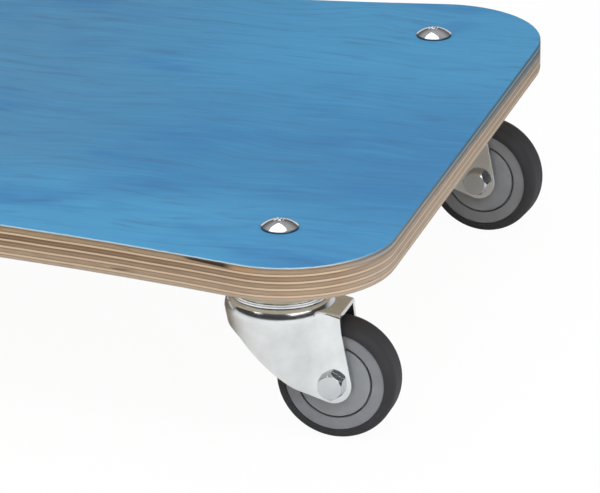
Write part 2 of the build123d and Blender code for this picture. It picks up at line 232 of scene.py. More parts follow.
def ranged(tree, value, low, high, to_low=0.0, to_high=1.0, smooth=False):
    """Value taken from one range to another, and held at its ends."""
    kind = "SMOOTHSTEP" if smooth else "LINEAR"
    spans = {"Value": value, "From Min": low, "From Max": high, "To Min": to_low, "To Max": to_high}
    return put(tree, "ShaderNodeMapRange", spans, interpolation_type=kind).outputs["Result"]


def between(tree, value, low, high, soft):
    """One where a value lies between two others, with soft ends."""
    rises = ranged(tree, value, low - soft, low, smooth=True)
    falls = ranged(tree, value, high, high + soft, 1.0, 0.0, smooth=True)
    return product(tree, rises, falls)


def added(tree, first, second):
    """Sum of two vectors."""
    return put(tree, "ShaderNodeVectorMath", {0: first, 1: second}, operation="ADD").outputs[0]


def stretched(tree, vector, scale, shift=(0, 0, 0)):
    """Coordinates scaled along each axis, then shifted."""
    inputs = {"Vector": vector, "Scale": scale, "Location": shift}
    return put(tree, "ShaderNodeMapping", inputs).outputs["Vector"]


def cloud(tree, vector, scale, detail=2.0, roughness=0.5, waves=0.0):
    """Soft noise from 0 to 1."""
    values = {"Vector": vector, "Scale": scale, "Detail": detail, "Roughness": roughness, "Distortion": waves}
    return put(tree, "ShaderNodeTexNoise", values).outputs["Fac"]


def drawn_out(tree, vector, stretch, detail=2.0, roughness=0.5, shift=(0, 0, 0), waves=0.0):
    """Soft noise drawn out along its axes."""
    return cloud(tree, stretched(tree, vector, stretch, shift), 1.0, detail, roughness, waves)


def millimetres(tree, height=0.0):
    """Object coordinates in millimetres, with a height of the part at zero."""
    place = put(tree, "ShaderNodeTexCoord").outputs["Object"]
    return stretched(tree, place, (1 / MILLIMETRE,) * 3, (0, 0, -height / MILLIMETRE))


def axes(tree, vector):
    """Parts of a vector along the axes."""
    return put(tree, "ShaderNodeSeparateXYZ", {"Vector": vector}).outputs


def finish(name, **constants):
    """New material: its node tree and its shader, with constants set on the shader's own sockets."""
    material = bpy.data.materials.new(name)
    material.use_nodes = True
    tree = material.node_tree
    shader = tree.nodes["Principled BSDF"]
    for socket, value in constants.items():
        shader.inputs[socket.replace("_", " ")].default_value = value
    return material, tree, shader


def raise_surface(tree, shader, height, strength, distance, edge=0.0):
    """Bump of a distance in the shader's normal, over edges broken by a radius, both in millimetres."""
    values = {"Height": height, "Strength": strength, "Distance": distance * MILLIMETRE}
    if edge:
        broken = put(tree, "ShaderNodeBevel", {"Radius": edge * MILLIMETRE}, samples=6)
        values["Normal"] = broken.outputs["Normal"]
    tree.links.new(put(tree, "ShaderNodeBump", values).outputs["Normal"], shader.inputs["Normal"])


def group_tree(name, inputs, outputs):
    """New shader node group with a vector input, value inputs and value outputs, and its inner sockets."""
    tree = bpy.data.node_groups.new(name, "ShaderNodeTree")
    tree.interface.new_socket("Vector", in_out="INPUT", socket_type="NodeSocketVector")
    for socket, default in inputs.items():
        made = tree.interface.new_socket(socket, in_out="INPUT", socket_type="NodeSocketFloat")
        made.default_value = default
    for socket in outputs:
        tree.interface.new_socket(socket, in_out="OUTPUT", socket_type="NodeSocketFloat")
    return tree, tree.nodes.new("NodeGroupInput").outputs, tree.nodes.new("NodeGroupOutput").inputs


def placed_group(tree, name, inputs):
    """A node group placed in a material."""
    return put(tree, "ShaderNodeGroup", inputs, node_tree=bpy.data.node_groups[name]).outputs


# Scratches: stretch of their noise, and the narrow span of it that shows, for two directions
LONG_SCRATCHES = (0.12, 3.0, 1.6)
LONG_SCRATCH_SPAN = (0.69, 0.73)
CROSS_SCRATCHES = (1.8, 0.1, 2.6)
CROSS_SCRATCH_SPAN = (0.71, 0.75)


def make_handling_group():
    """Mottle, fine scratches and a fine grain, for surfaces that are handled and moulded."""
    tree, given, made = group_tree(
        "handling", {"Mottle Scale": 0.05, "Grain Scale": 2.0}, ("Mottle", "Scratches", "Grain")
    )
    vector = given["Vector"]
    mottle = cloud(tree, vector, given["Mottle Scale"], detail=4.0, roughness=0.6)
    grain = cloud(tree, vector, given["Grain Scale"], detail=3.0, roughness=0.6)
    long = ranged(tree, drawn_out(tree, vector, LONG_SCRATCHES, detail=1.0), *LONG_SCRATCH_SPAN)
    cross = drawn_out(tree, vector, CROSS_SCRATCHES, detail=1.0, shift=(9, 4, 2))
    scratches = larger(tree, long, ranged(tree, cross, *CROSS_SCRATCH_SPAN))
    tree.links.new(mottle, made["Mottle"])
    tree.links.new(scratches, made["Scratches"])
    tree.links.new(grain, made["Grain"])


# Veneer figure: stretch of each noise along, across and through the veneer, and its sway in millimetres
FIBRES = (0.012, 0.75, 0.2)
PORES = (0.075, 1.9, 0.5)
STREAKS = (0.026, 0.22, 0.2)
ARCHES = (0.36, 1.0, 0.2)
CLOUDS = (0.55, 1.0, 0.2)
CLOUD_SCALE = 0.013
BENDS = (0.7, 0.6, 0.2)
BEND_SCALE = 0.018
SWAY = 28.0
ARCH_SPAN = (0.9, 1.0)
PORE_SPAN = (0.66, 0.74)


def make_figure_group():
    """Veneer figure: swaying fibres, pores and streaks, the arched lines of a flat-cut log, and clouds."""
    tree, given, made = group_tree(
        "veneer_figure", {"Shift": 0.0}, ("Fibres", "Lines", "Pores", "Streaks", "Clouds")
    )
    shift = given["Shift"]
    moved = put(tree, "ShaderNodeCombineXYZ", {"X": shift, "Y": shift, "Z": shift}).outputs[0]
    vector = added(tree, given["Vector"], moved)
    bend = cloud(tree, stretched(tree, vector, BENDS, (11, 4, 6)), BEND_SCALE, detail=1.0)
    across = sums(tree, "MULTIPLY_ADD", bend, SWAY, -SWAY / 2)
    wavy = added(tree, vector, put(tree, "ShaderNodeCombineXYZ", {"Y": across}).outputs[0])
    arches = put(
        tree,
        "ShaderNodeTexWave",
        {
            "Vector": stretched(tree, vector, ARCHES),
            "Scale": 0.0125,
            "Distortion": 9.0,
            "Detail": 3.0,
            "Detail Scale": 1.9,
            "Detail Roughness": 0.55,
        },
        wave_type="BANDS",
        bands_direction="Y",
    ).outputs["Fac"]
    pores = drawn_out(tree, wavy, PORES, detail=1.0)
    streaks = drawn_out(tree, wavy, STREAKS, detail=3.5, roughness=0.62, shift=(3, 8, 5), waves=0.5)
    clouds = cloud(tree, stretched(tree, vector, CLOUDS), CLOUD_SCALE, detail=3.0, roughness=0.55)
    tree.links.new(drawn_out(tree, wavy, FIBRES, detail=5.0, roughness=0.65), made["Fibres"])
    tree.links.new(ranged(tree, arches, *ARCH_SPAN, smooth=True), made["Lines"])
    tree.links.new(ranged(tree, pores, *PORE_SPAN), made["Pores"])
    tree.links.new(streaks, made["Streaks"])
    tree.links.new(clouds, made["Clouds"])


# Stain on the top: drift of its bounds and spans along and across the deck, in millimetres, and shares
STAIN_DRIFT = 90.0
DULL_ALONG = (190.0, 60.0)
FRONT_ACROSS = (-60.0, -120.0)
REAR_ACROSS = (-15.0, 85.0, 0.0, 0.9)
REAR_ALONG = (60.0, 215.0)
DEEP_ALONG = (195.0, 265.0)
DEEP_ACROSS = (60.0, -10.0)
DEEP_SHARE = 0.4

# Figure in the stain: spans of its noise with the shares at their ends, its shares, and how it shades
PATCHES = (0.5, 1.0, 0.2)
PATCH_SCALE = 0.024
PATCH_SPAN = (0.5, 0.72, 0.0, 0.75)
DARK_STREAKS = (0.52, 0.74, 0.0, 0.65)
PALE_STREAKS = (0.5, 0.28, 0.0, 0.4)
DARK_FIBRES = (0.4, 0.8, 0.0, 0.22)
PALE_FIBRES = (0.42, 0.25, 0.0, 0.12)
LINE_SHARE = 0.12
PORE_SHARE = 0.14
DARK_SHADE = 0.8
PALE_SHADE = 1.15
PORE_SHADE = 0.6


def stained_top(tree, spot, place, wood):
    """Blue stain, duller in the middle and bright at the sides, over a veneer's figure, and that figure."""
    figure = placed_group(tree, "veneer_figure", {"Vector": spot, "Shift": 0.0})
    drift = sums(tree, "MULTIPLY_ADD", figure["Clouds"], STAIN_DRIFT, -STAIN_DRIFT / 2)
    along = sums(tree, "ABSOLUTE", place["X"])
    across = sums(tree, "ADD", place["Y"], drift)
    dull = ranged(tree, sums(tree, "ADD", along, drift), *DULL_ALONG, smooth=True)
    stain = mixed(tree, dull, wood.stain, wood.stain_dull)
    front = ranged(tree, across, *FRONT_ACROSS, smooth=True)
    rear = ranged(tree, across, *REAR_ACROSS, smooth=True)
    rear = product(tree, rear, ranged(tree, along, *REAR_ALONG, smooth=True))
    stain = mixed(tree, larger(tree, front, rear), stain, wood.stain_bright)
    deep = ranged(tree, along, *DEEP_ALONG, smooth=True)
    deep = product(tree, deep, ranged(tree, place["Y"], *DEEP_ACROSS))
    stain = mixed(tree, product(tree, deep, DEEP_SHARE), stain, wood.stain_deep)
    patch = cloud(tree, stretched(tree, spot, PATCHES, (31, 7, 3)), PATCH_SCALE, detail=3.0, roughness=0.6)
    stain = mixed(tree, ranged(tree, patch, *PATCH_SPAN, smooth=True), stain, wood.stain_deep)
    streaks = figure["Streaks"]
    stain = mixed(tree, ranged(tree, streaks, *DARK_STREAKS, smooth=True), stain, wood.stain_streak)
    stain = mixed(tree, ranged(tree, streaks, *PALE_STREAKS, smooth=True), stain, wood.stain_bright)
    dark = shaded(wood.stain_deep, DARK_SHADE)
    pale = shaded(wood.stain_bright, PALE_SHADE)
    darkest = shaded(wood.stain_deep, PORE_SHADE)
    fibres = figure["Fibres"]
    stain = mixed(tree, ranged(tree, fibres, *DARK_FIBRES), stain, dark)
    stain = mixed(tree, ranged(tree, fibres, *PALE_FIBRES), stain, pale)
    stain = mixed(tree, product(tree, figure["Lines"], LINE_SHARE), stain, dark)
    stain = mixed(tree, product(tree, figure["Pores"], PORE_SHARE), stain, darkest)
    return stain, figure


# Bare underside: how far its figure is shifted in millimetres, and how strongly it shows
BARE_SHIFT = 420.0
BARE_FIBRES = (0.35, 0.75, 0.0, 0.35)
BARE_FIBRE_SHADE = 0.7
BARE_LINE_SHARE = 0.28
BARE_PORE_SHARE = 0.3
BARE_PORE_SHADE = 0.5


def bare_underside(tree, spot, wood):
    """Unstained veneer."""
    figure = placed_group(tree, "veneer_figure", {"Vector": spot, "Shift": BARE_SHIFT})
    fibres = ranged(tree, figure["Fibres"], *BARE_FIBRES)
    bare = mixed(tree, fibres, wood.veneer, shaded(wood.veneer, BARE_FIBRE_SHADE))
    bare = mixed(tree, product(tree, figure["Lines"], BARE_LINE_SHARE), bare, wood.ply_top)
    pores = product(tree, figure["Pores"], BARE_PORE_SHARE)
    return mixed(tree, pores, bare, shaded(wood.veneer, BARE_PORE_SHADE))


# Ends of the deck, in millimetres from its middle, and the share of their greyer tint
END_ZONE = (deck_end - 14.0, deck_end - 1.0)
END_TINT = 0.35


def deck_ends(tree, place):
    """One at the ends of the deck, and none elsewhere."""
    return ranged(tree, sums(tree, "ABSOLUTE", place["X"]), *END_ZONE)


# Plies: where the first one starts below the top and how far the plies waver, in millimetres
FIRST_PLY = 0.3
WAVER = 0.5

# Plies: pale line, glue seams and inner line as shares of the pitch, each with its soft ends
PALE_LINE = (-0.01, 0.2, 0.07)
SEAM_ABOVE = (0.95, 1.0, 0.04)
SEAM_BELOW = (0.34, 0.38, 0.04)
INNER_LINE = (0.64, 0.68, 0.06)

# Plies: stretch of the noise along and through them
WAVES = (0.02, 0.02, 0.02)
SPREAD = (0.03, 0.03, 0.3)
TINTS = (0.03, 0.03, 0.33)
PLY_STREAKS = (0.1, 0.1, 2.4)
FLECKS = (0.07, 0.07, 0.8)

# Plies: spans of the noise, of depth and of places in millimetres, some with the shares at their ends
FLECK_SPAN = (0.66, 0.72)
BROWN_STREAKS = (0.45, 0.75, 0.0, 0.5)
CREAM_STREAKS = (0.4, 0.8, 0.0, 0.3)
SOFT_PLIES = (5.0, 11.0)
TOP_PLY = (3.1, 2.7)
PALER_ALONG = (130.0, 275.0, 0.0, 0.65)
UPPER_PLIES = (4.6, 4.0)
FAINT_PALE = (0.0, 1.0, 1.0, 0.1)
UPPER_LINE = (2.7, 3.3, 0.4)
SHADY_ACROSS = (-60.0, 50.0, 0.0, 0.45)
LOWEST_PLY = (2.4, 1.8)

# Plies: how far their pale lines spread and their tint swings, shares of their masks, and shade of a fleck
PALE_SPREAD = 0.1
TINT_SWING = 0.5
INNER_SHARE = 0.2
FLECK_SHARE = 0.6
FLECK_SHADE = 0.6
SEAM_SHARE = 0.5
UPPER_LINE_SHARE = 0.35
LOWEST_SHARE = 0.8

# Knot and the amber grain beside it, in millimetres along the front edge and down it
KNOT_MIDDLE = 214.0
KNOT_SLANT = 0.04
KNOT_DEPTH = (0.45, 1.8, 0.6)
KNOT_ALONG = (208.0, 221.0, 6.0)
AMBER_ALONG = (225.0, 233.0, 5.0)
AMBER_SHARE = 0.45


def ply_edge(tree, spot, place, wood):
    """Cut edge with pale and brown plies, glue lines, flecks and a knot, and the relief of that edge."""
    level = sums(tree, "MULTIPLY_ADD", place["Z"], -1.0, -FIRST_PLY)
    depth = sums(tree, "MULTIPLY_ADD", drawn_out(tree, spot, WAVES, detail=1.0), WAVER, level)
    phase = sums(tree, "FRACT", sums(tree, "DIVIDE", depth, wood.ply_pitch / MILLIMETRE))
    spread = drawn_out(tree, spot, SPREAD, shift=(2, 6, 9))
    pale = between(tree, sums(tree, "MULTIPLY_ADD", spread, -PALE_SPREAD, phase), *PALE_LINE)
    seam = larger(tree, between(tree, phase, *SEAM_ABOVE), between(tree, phase, *SEAM_BELOW))
    inner = between(tree, phase, *INNER_LINE)
    streak = drawn_out(tree, spot, PLY_STREAKS, detail=5.0, roughness=0.7)
    fleck = ranged(tree, drawn_out(tree, spot, FLECKS, shift=(5, 8, 3)), *FLECK_SPAN)
    brown = mixed(tree, ranged(tree, depth, *SOFT_PLIES, smooth=True), wood.ply_cross, wood.ply_soft)
    brown = mixed(tree, ranged(tree, depth, *TOP_PLY), brown, wood.ply_top)
    along = sums(tree, "ABSOLUTE", place["X"])
    paler = sums(tree, "ADD", ranged(tree, along, *PALER_ALONG), -TINT_SWING / 2)
    tint = drawn_out(tree, spot, TINTS, detail=3.0)
    paler = sums(tree, "MULTIPLY_ADD", tint, TINT_SWING, paler)
    brown = mixed(tree, paler, brown, wood.ply_soft)
    end = deck_ends(tree, place)
    upper = product(tree, end, ranged(tree, depth, *UPPER_PLIES))
    pale = product(tree, pale, ranged(tree, upper, *FAINT_PALE))
    shady = product(tree, end, ranged(tree, place["Y"], *SHADY_ACROSS, smooth=True))
    brown = mixed(tree, shady, brown, wood.ply_cross)
    brown = mixed(tree, ranged(tree, streak, *BROWN_STREAKS), brown, wood.glue)
    brown = mixed(tree, product(tree, inner, INNER_SHARE), brown, wood.ply_long)
    brown = mixed(tree, product(tree, fleck, FLECK_SHARE), brown, shaded(wood.glue, FLECK_SHADE))
    cream = mixed(tree, ranged(tree, streak, *CREAM_STREAKS), wood.ply_long, wood.ply_top)
    edge = mixed(tree, product(tree, seam, SEAM_SHARE), brown, wood.glue)
    line = product(tree, upper, between(tree, depth, *UPPER_LINE))
    edge = mixed(tree, product(tree, line, UPPER_LINE_SHARE), edge, wood.glue)
    edge = mixed(tree, pale, edge, cream)
    lowest = ranged(tree, depth, *(deck_thickness - height for height in LOWEST_PLY))
    edge = mixed(tree, product(tree, lowest, LOWEST_SHARE), edge, wood.ply_lowest)
    aside = sums(tree, "SUBTRACT", place["X"], KNOT_MIDDLE)
    band = between(tree, sums(tree, "MULTIPLY_ADD", aside, -KNOT_SLANT, depth), *KNOT_DEPTH)
    band = product(tree, band, sums(tree, "LESS_THAN", place["Y"], 0.0))
    amber = product(tree, band, between(tree, place["X"], *AMBER_ALONG))
    edge = mixed(tree, product(tree, amber, AMBER_SHARE), edge, wood.amber)
    knot = product(tree, band, between(tree, place["X"], *KNOT_ALONG))
    return mixed(tree, knot, edge, wood.knot), sums(tree, "SUBTRACT", streak, seam)


# Upper corner: how ragged its bounds are, in millimetres, and the scale of that noise
RAGGED = 0.3
RAGGED_SOAK = 2.0
RAGGED_SCALE = 0.22

# Upper corner: spans of height in millimetres from the top, some with the shares at their ends
DARK_LINE = (-1.3, -0.75, 0.0, 0.7)
RUBBED_AND_LIT = (-0.62, -0.48)
STAINED = (-0.3, -0.08)
STAINED_TOP = (-0.06, -0.01)
STAINED_END = (-0.55, -0.4)
FAINT_AT_END = (0.0, 1.0, 1.0, 0.2)

# Stain soaked into the ends: how deep it reaches across the deck, how it fades, and its layers' heights
SOAK_REACH = (-110.0, 120.0, 3.5, 9.0)
SOAK_STREAK = 3.0
SOAK_FADE = (-1.0, -0.35, 0.0, 0.9)
SOAK_ACROSS = (-110.0, -20.0, 0.45, 1.0)
GLUE_LAYER = (-3.8, -3.2, 0.3)
PALE_LAYER = (-2.7, -2.0, 0.3)
DARK_LAYER = (-1.6, -0.7, 0.3)
DARK_LAYER_SHADE = 0.5


def upper_corner(tree, spot, place, edge, stain, wood):
    """Edge with its upper corner rubbed pale, partly real wear and partly a painted highlight, over a dark
    line, and its ends tinted by soaked stain.
    """
    ragged = sums(tree, "SUBTRACT", cloud(tree, spot, RAGGED_SCALE, detail=3.0), 0.5)
    near_top = sums(tree, "MULTIPLY_ADD", ragged, RAGGED, place["Z"])
    end = deck_ends(tree, place)
    not_end = ranged(tree, end, *FAINT_AT_END)
    edge = mixed(tree, product(tree, end, END_TINT), edge, wood.ply_end)
    dark_line = product(tree, ranged(tree, near_top, *DARK_LINE), not_end)
    edge = mixed(tree, dark_line, edge, wood.glue)
    streak = drawn_out(tree, spot, PLY_STREAKS, detail=3.0, roughness=0.6, shift=(7, 1, 4))
    height = sums(tree, "MULTIPLY_ADD", ragged, RAGGED_SOAK, place["Z"])
    height = sums(tree, "MULTIPLY_ADD", streak, SOAK_STREAK, height)
    height = sums(tree, "SUBTRACT", height, SOAK_STREAK / 2)
    soaked = sums(tree, "DIVIDE", height, ranged(tree, place["Y"], *SOAK_REACH))
    soaked = ranged(tree, soaked, *SOAK_FADE)
    soaked = product(tree, soaked, ranged(tree, place["Y"], *SOAK_ACROSS))
    edge = mixed(tree, product(tree, end, soaked), edge, wood.stain_run)
    for heights, share, colour in (
        (GLUE_LAYER, 0.4, wood.glue),
        (PALE_LAYER, 0.35, wood.worn_and_highlight),
        (DARK_LAYER, 0.4, shaded(wood.stain_run, DARK_LAYER_SHADE)),
    ):
        layer = product(tree, end, between(tree, near_top, *heights))
        edge = mixed(tree, product(tree, layer, share), edge, colour)
    # Pale upper corner: partly rubbed-off stain, partly a painted highlight
    rubbed_and_lit = product(tree, ranged(tree, near_top, *RUBBED_AND_LIT), not_end)
    edge = mixed(tree, rubbed_and_lit, edge, wood.worn_and_highlight)
    stained = larger(tree, ranged(tree, near_top, *STAINED), ranged(tree, place["Z"], *STAINED_TOP))
    stained = larger(tree, stained, product(tree, end, ranged(tree, near_top, *STAINED_END)))
    return mixed(tree, stained, edge, stain)


# Plywood: heights in millimetres between which its faces meet its edge, and its shine and roughness
FACE_SPAN = (0.25, 0.05)
WOOD_SHINE = 0.16
VENEER_ROUGHNESS = (0.3, 0.8, 0.46, 0.58)
ROUGHER_EDGE = (0.0, 1.0, 0.18, 0.0)

# Plywood: share of the fibres in its relief, and that relief's strength and height in millimetres
FIBRE_RELIEF = 0.4
WOOD_RELIEF = (0.3, 0.1)


def stained_plywood(wood):
    """Plywood with a stained top: veneer figure above and below, plies along the edge."""
    material, tree, shader = finish("stained_plywood", Specular_IOR_Level=WOOD_SHINE)
    spot = millimetres(tree, deck_high.z)
    place = axes(tree, spot)
    stain, figure = stained_top(tree, spot, place, wood)
    edge, edge_relief = ply_edge(tree, spot, place, wood)
    edge = upper_corner(tree, spot, place, edge, stain, wood)
    underneath = ranged(tree, place["Z"], *(height - deck_thickness for height in FACE_SPAN))
    whole = mixed(tree, underneath, edge, bare_underside(tree, spot, wood))
    tree.links.new(whole, shader.inputs["Base Color"])
    on_top = ranged(tree, place["Z"], *(-height for height in FACE_SPAN))
    rough = ranged(tree, figure["Fibres"], *VENEER_ROUGHNESS)
    rough = sums(tree, "ADD", rough, ranged(tree, on_top, *ROUGHER_EDGE))
    tree.links.new(rough, shader.inputs["Roughness"])
    relief = sums(tree, "SUBTRACT", product(tree, figure["Fibres"], FIBRE_RELIEF), figure["Pores"])
    both = put(tree, "ShaderNodeMix", {"Factor": on_top, 2: edge_relief, 3: relief}, data_type="FLOAT")
    raise_surface(tree, shader, both.outputs[0], *WOOD_RELIEF)
    return material


# Metal: scales of its marks, strength and height of its grain, spans of its mottle, and how it dulls
METAL_MOTTLE = 0.09
METAL_GRAIN = 2.2
METAL_RELIEF = (0.06, 0.02)
DULL_MOTTLE = (0.35, 0.68)
DULL_SHADE = 0.86
ROUGH_MOTTLE = (0.3, 0.7)
ROUGHER = 0.14
SCRATCH_ROUGHNESS = 0.08

# Painted shade round the foot of a bolt head, standing in for its contact shadow and dark reflection: height
# of its foot over the deck and of its fading, in millimetres, and its share
SHADE_FOOT = 0.75
SHADE_FADE_HEIGHT = 0.3
SHADE_SHARE = 0.8


def plated(metal, name, colour, roughness, foot=None):
    """Bright plated metal with a soft mottle and fine scratches, and painted shade below a foot's height."""
    material, tree, shader = finish(name, Metallic=1.0)
    spot = millimetres(tree)
    scales = {"Vector": spot, "Mottle Scale": METAL_MOTTLE, "Grain Scale": METAL_GRAIN}
    marks = placed_group(tree, "handling", scales)
    shade = mixed(tree, ranged(tree, marks["Mottle"], *DULL_MOTTLE), colour, shaded(colour, DULL_SHADE))
    if foot is not None:
        # Painted shade: the bolt head grows dark towards its foot on the deck, in place of a contact shadow
        # and dark reflection
        painted_foot_shade = ranged(tree, axes(tree, spot)["Z"], foot + SHADE_FADE_HEIGHT, foot, 0.0, SHADE_SHARE)
        shade = mixed(tree, painted_foot_shade, shade, metal.painted_foot_shade)
    tree.links.new(shade, shader.inputs["Base Color"])
    rough_range = (roughness * (1 - ROUGHER), roughness * (1 + ROUGHER))
    rough = ranged(tree, marks["Mottle"], *ROUGH_MOTTLE, *rough_range)
    rough = sums(tree, "MULTIPLY_ADD", marks["Scratches"], SCRATCH_ROUGHNESS, rough)
    tree.links.new(rough, shader.inputs["Roughness"])
    raise_surface(tree, shader, marks["Grain"], *METAL_RELIEF, metal.broken_edge / MILLIMETRE)
    return material


# Plastic and rubber: scales of their marks, shine, and strength and height of their grain
MOULDED_MOTTLE = 0.12
PLASTIC_GRAIN = 3.0
PLASTIC_SHINE = 0.5
RUBBER_GRAIN = 2.0
RUBBER_SHINE = 0.3
MOULDED_RELIEF = (0.22, 0.03)

# Plastic and rubber: spans of their mottle, how it changes their roughness, and how dust pales them
DUSTY_MOTTLE = (0.4, 0.75, 0.0, 0.8)
WORN_MOTTLE = (0.3, 0.75)
WORN_ROUGHNESS = (-0.05, 0.06)
DUST_SHADE = 1.16
DUST_ADDED = 0.006
SCRATCH_DUST = 0.2


def moulded(name, colour, roughness, grain, shine):
    """Moulded plastic or rubber with a fine grain and a faint mottle."""
    material, tree, shader = finish(name, Specular_IOR_Level=shine)
    scales = {"Vector": millimetres(tree), "Mottle Scale": MOULDED_MOTTLE, "Grain Scale": grain}
    marks = placed_group(tree, "handling", scales)
    dusty = tuple(min(1, part * DUST_SHADE + DUST_ADDED) for part in colour)
    shade = mixed(tree, ranged(tree, marks["Mottle"], *DUSTY_MOTTLE), colour, dusty)
    shade = mixed(tree, product(tree, marks["Scratches"], SCRATCH_DUST), shade, dusty)
    tree.links.new(shade, shader.inputs["Base Color"])
    rough_range = (roughness + change for change in WORN_ROUGHNESS)
    rough = ranged(tree, marks["Mottle"], *WORN_MOTTLE, *rough_range)
    tree.links.new(rough, shader.inputs["Roughness"])
    raise_surface(tree, shader, marks["Grain"], *MOULDED_RELIEF)
    return material


def dress(material, *names):
    """Gives CAD nodes a material."""
    for name in names:
        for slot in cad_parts[name].material_slots:
            slot.material = material


def each_corner(piece):
    """Names of a piece's nodes at the four corners."""
    return [f"{corner}_{piece}" for corner in CORNERS]


class DOLLY_OT_deck(Operator):
    """Finish the plywood deck"""

    bl_idname = "dolly.deck"
    bl_label = "Deck"

    def execute(self, context):
        dress(stained_plywood(context.scene.dolly_wood), "deck")
        return {"FINISHED"}


class DOLLY_OT_deck_bolts(Operator):
    """Finish the dome-head bolts"""

    bl_idname = "dolly.deck_bolts"
    bl_label = "Deck bolts"

    def execute(self, context):
        metal = context.scene.dolly_metal
        foot = deck_high.z / MILLIMETRE + SHADE_FOOT
        dress(plated(metal, "bolt_chrome", metal.chrome, metal.chrome_roughness, foot), "deck_bolts")
        return {"FINISHED"}


class DOLLY_OT_deck_nuts(Operator):
    """Finish the nuts under the casters"""

    bl_idname = "dolly.deck_nuts"
    bl_label = "Deck nuts"

    def execute(self, context):
        metal = context.scene.dolly_metal
        dress(plated(metal, "nut_zinc", metal.zinc, metal.zinc_roughness), "deck_nuts")
        return {"FINISHED"}


class DOLLY_OT_top_dishes(Operator):
    """Finish the pressed dishes and races of the casters"""

    bl_idname = "dolly.top_dishes"
    bl_label = "Top dishes"

    def execute(self, context):
        metal = context.scene.dolly_metal
        pressed = plated(metal, "pressed_zinc", metal.zinc, metal.zinc_roughness)
        dress(pressed, *each_corner("top_dish"), *each_corner("lower_race"))
        return {"FINISHED"}


class DOLLY_OT_forks(Operator):
    """Finish the forks"""

    bl_idname = "dolly.forks"
    bl_label = "Forks"

    def execute(self, context):
        metal = context.scene.dolly_metal
        dress(plated(metal, "fork_zinc", metal.zinc, metal.zinc_roughness), *each_corner("fork"))
        return {"FINISHED"}


# Share of the zinc's roughness that polished bearings have
BEARING_POLISH = 0.7


class DOLLY_OT_bearings(Operator):
    """Finish the balls and sleeves"""

    bl_idname = "dolly.bearings"
    bl_label = "Bearings"

    def execute(self, context):
        metal = context.scene.dolly_metal
        steel = plated(metal, "bearing_steel", metal.steel, metal.zinc_roughness * BEARING_POLISH)
        for piece in ("king_sleeve", "upper_balls", "lower_balls", "axle_sleeve"):
            dress(steel, *each_corner(piece))
        return {"FINISHED"}


class DOLLY_OT_axles(Operator):
    """Finish the axle bolts and their nuts"""

    bl_idname = "dolly.axles"
    bl_label = "Axles"

    def execute(self, context):
        metal = context.scene.dolly_metal
        zinc = plated(metal, "axle_zinc", metal.axle_zinc, metal.zinc_roughness)
        dress(zinc, *each_corner("axle_bolt"), *each_corner("axle_nut"))
        return {"FINISHED"}


class DOLLY_OT_wheel_hubs(Operator):
    """Finish the wheel hubs"""

    bl_idname = "dolly.wheel_hubs"
    bl_label = "Wheel hubs"

    def execute(self, context):
        wheel = context.scene.dolly_wheel
        plastic = moulded("hub_plastic", wheel.hub, wheel.hub_roughness, PLASTIC_GRAIN, PLASTIC_SHINE)
        dress(plastic, *each_corner("wheel_hub"))
        return {"FINISHED"}


class DOLLY_OT_thread_guards(Operator):
    """Finish the thread guards"""

    bl_idname = "dolly.thread_guards"
    bl_label = "Thread guards"

    def execute(self, context):
        wheel = context.scene.dolly_wheel
        plastic = moulded("guard_plastic", wheel.guard, wheel.guard_roughness, PLASTIC_GRAIN, PLASTIC_SHINE)
        dress(plastic, *each_corner("thread_guards"))
        return {"FINISHED"}


class DOLLY_OT_treads(Operator):
    """Finish the treads"""

    bl_idname = "dolly.treads"
    bl_label = "Treads"

    def execute(self, context):
        wheel = context.scene.dolly_wheel
        rubber = moulded("tread_rubber", wheel.tread, wheel.tread_roughness, RUBBER_GRAIN, RUBBER_SHINE)
        dress(rubber, *each_corner("tread"))
        return {"FINISHED"}


def toward(azimuth, elevation):
    """Direction from the part to a place at an azimuth and elevation."""
    return Vector((sin(azimuth) * cos(elevation), -cos(azimuth) * cos(elevation), sin(elevation)))


def soft_box(name, azimuth, elevation, width, height, power):
    """Soft box that faces the part from an azimuth and elevation."""
    lamp = bpy.data.lights.new(name, "AREA")
    lamp.shape = "RECTANGLE"
    lamp.size = width
    lamp.size_y = height
    lamp.energy = power
    light = bpy.data.objects.new(name, lamp)
    away = toward(azimuth, elevation)
    light.location = Vector(LIT_POINT) + away * LIGHT_DISTANCE
    light.rotation_euler = (-away).to_track_quat("-Z", "Y").to_euler()
    light.visible_camera = False
    bpy.context.scene.collection.objects.link(light)


def make_floor(stage):
    """Floor: white to the eye and pale in reflections, with the shadow kept, and clear from below."""
    material = bpy.data.materials.new("floor")
    material.use_nodes = True
    tree = material.node_tree
    tree.nodes.clear()
    seen = put(tree, "ShaderNodeLightPath").outputs
    mirrored = larger(tree, seen["Is Glossy Ray"], seen["Is Transmission Ray"])
    mirrored = product(tree, mirrored, MIRRORED_WHITE)
    white = larger(tree, product(tree, seen["Is Camera Ray"], SEEN_WHITE), mirrored)
    paint = put(tree, "ShaderNodeBsdfDiffuse", {"Color": (*stage.floor, 1)})
    glow = put(tree, "ShaderNodeEmission", {"Color": (1, 1, 1, 1), "Strength": 1.0})
    both = put(tree, "ShaderNodeMixShader", {0: white, 1: paint.outputs[0], 2: glow.outputs[0]})
    below = put(tree, "ShaderNodeNewGeometry").outputs["Backfacing"]
    clear = put(tree, "ShaderNodeBsdfTransparent")
    one_sided = put(tree, "ShaderNodeMixShader", {0: below, 1: both.outputs[0], 2: clear.outputs[0]})
    put(tree, "ShaderNodeOutputMaterial", {"Surface": one_sided.outputs[0]})
    bpy.ops.mesh.primitive_plane_add(size=FLOOR_SIZE, location=(0, 0, 0))
    floor = bpy.context.object
    floor.name = "floor"
    floor.data.materials.append(material)


